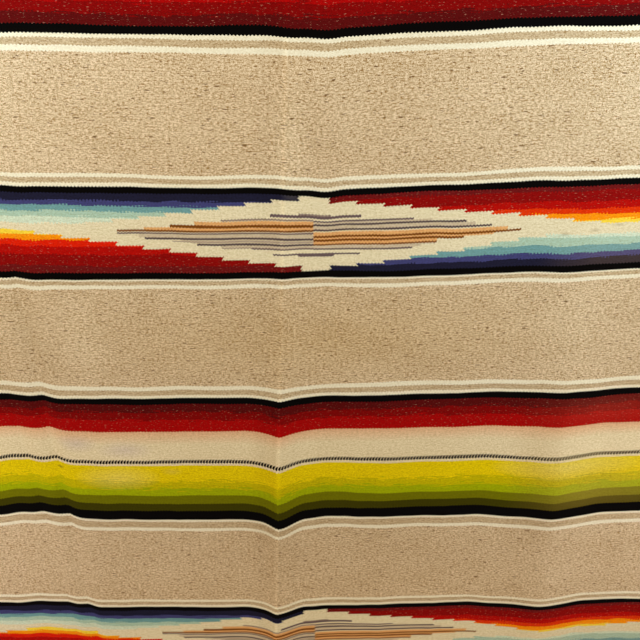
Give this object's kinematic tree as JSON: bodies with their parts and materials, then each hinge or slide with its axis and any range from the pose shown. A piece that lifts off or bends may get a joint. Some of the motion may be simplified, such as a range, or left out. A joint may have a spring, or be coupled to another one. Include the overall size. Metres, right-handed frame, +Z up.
{
  "type": "mexican serape",
  "caption": "Rectangular weft-faced wool serape laid flat, with soft storage folds along it and a row of knotted fringe at each end.",
  "frame": {"origin": "on the floor under the middle of the blanket", "axes": "+X across the blanket from selvedge to selvedge, +Y along the warp towards the head end, +Z up out of the face that shows"},
  "size_m": [1.224, 2.3231, 0.0147],
  "materials": {
    "web_wool": "matt handspun wool weft, tan with dyed stripes",
    "fringe_cotton": "matt undyed cotton warp ends, knotted"
  },
  "bodies": {
    "root": {"web": "web_wool", "fringe_head": "fringe_cotton", "fringe_foot": "fringe_cotton"}
  },
  "joints": []
}
